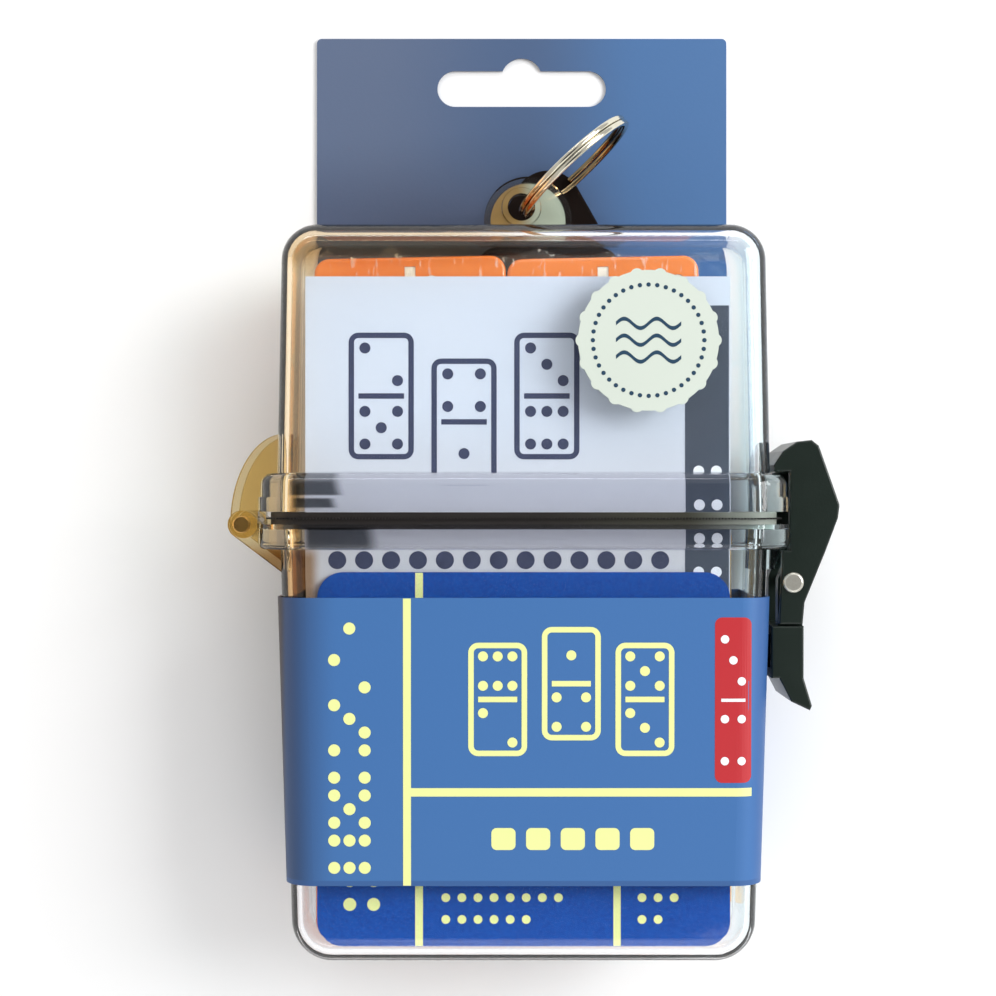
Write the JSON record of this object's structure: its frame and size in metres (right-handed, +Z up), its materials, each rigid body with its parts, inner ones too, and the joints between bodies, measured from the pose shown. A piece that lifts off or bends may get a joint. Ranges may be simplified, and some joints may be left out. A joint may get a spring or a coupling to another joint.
{
  "type": "travel domino set",
  "caption": "Clear hinged case with an over-centre latch, a seal and a split ring, in a card sleeve with a hang slot, holding orange domino tiles, a pad and a pencil.",
  "frame": {"origin": "on the card sleeve's back face, where the case's seam crosses its centre line", "axes": "+Y from the case's foot to the hang slot, +X to the latch side, +Z up from the table through the front"},
  "size_m": [0.118, 0.1853, 0.0377],
  "materials": {
    "clear_plastic": "clear, polished",
    "seal_rubber": "ribbed, satin",
    "pin_steel": "drawn",
    "rivet_steel": "polished",
    "ring_nickel": "nickel plated",
    "latch_black": "moulded, semi-gloss",
    "tab_rubber": "satin",
    "printed_card": "printed card, satin varnish",
    "sticker_film": "printed, glossy",
    "rules_print": "printed card",
    "grey_board": "pulp board",
    "pad_paper": "paper block",
    "cover_print": "printed paper",
    "pencil_wood": "lacquered",
    "graphite": "graphite",
    "tile_orange": "glossy"
  },
  "bodies": {
    "case": {"case_body": "clear_plastic", "seal_gasket": "seal_rubber", "hinge_pin": "pin_steel", "lever_pin": "pin_steel", "rules_card": "rules_print", "pencil_barrel": "pencil_wood", "pencil_lead": "graphite", "tile_0_0": "tile_orange", "tile_1_4": "tile_orange", "tile_1_6": "tile_orange", "tile_2_2": "tile_orange", "tile_1_5": "tile_orange", "tile_6_6": "tile_orange", "tile_0_4": "tile_orange", "tile_0_6": "tile_orange", "tile_1_2": "tile_orange", "tile_0_5": "tile_orange", "tile_4_4": "tile_orange", "tile_4_6": "tile_orange", "tile_2_3": "tile_orange", "tile_4_5": "tile_orange", "tile_1_1": "tile_orange", "tile_3_4": "tile_orange", "tile_3_6": "tile_orange", "tile_1_3": "tile_orange", "tile_3_5": "tile_orange", "tile_0_1": "tile_orange"},
    "lid": {"case_lid": "clear_plastic", "strap_tab": "tab_rubber", "round_sticker": "sticker_film", "pad_board": "grey_board", "pad_sheets": "pad_paper", "pad_cover": "cover_print", "tile_5_6": "tile_orange", "tile_3_3": "tile_orange", "tile_5_5": "tile_orange", "tile_0_2": "tile_orange", "tile_2_4": "tile_orange", "tile_2_6": "tile_orange", "tile_0_3": "tile_orange", "tile_2_5": "tile_orange"},
    "ring": {"split_ring": "ring_nickel"},
    "lever": {"latch_lever": "latch_black"},
    "claw": {"latch_claw": "latch_black", "claw_rivet": "rivet_steel"},
    "sleeve": {"card_sleeve": "printed_card"}
  },
  "joints": [
    {"name": "lid_swing", "type": "hinge", "parent": "case", "child": "lid", "pos_m": [-0.0543, -0.0013, 0.01925], "axis": [0, 0, 1], "range_deg": [0, 110]},
    {"name": "lever_swing", "type": "hinge", "parent": "case", "child": "lever", "pos_m": [0.054, -0.0072, 0.01925], "axis": [0, 0, 1], "range_deg": [0, 75]},
    {"name": "claw_swing", "type": "hinge", "parent": "lever", "child": "claw", "pos_m": [0.052, -0.0125, 0.01925], "axis": [0, 0, 1], "range_deg": [-98, 0]},
    {"name": "ring_swing", "type": "hinge", "parent": "lid", "child": "ring", "pos_m": [-0.0003, 0.0613, 0.01925], "axis": [0, 0, 1], "range_deg": [-35, 90]},
    {"name": "sleeve_slide", "type": "slide", "parent": "case", "child": "sleeve", "axis": [0, -1, 0], "range_m": [0, 0.085]}
  ],
  "couplings": [
    {"joint": "claw_swing", "follows": "lever_swing", "ratio": -1.3}
  ]
}
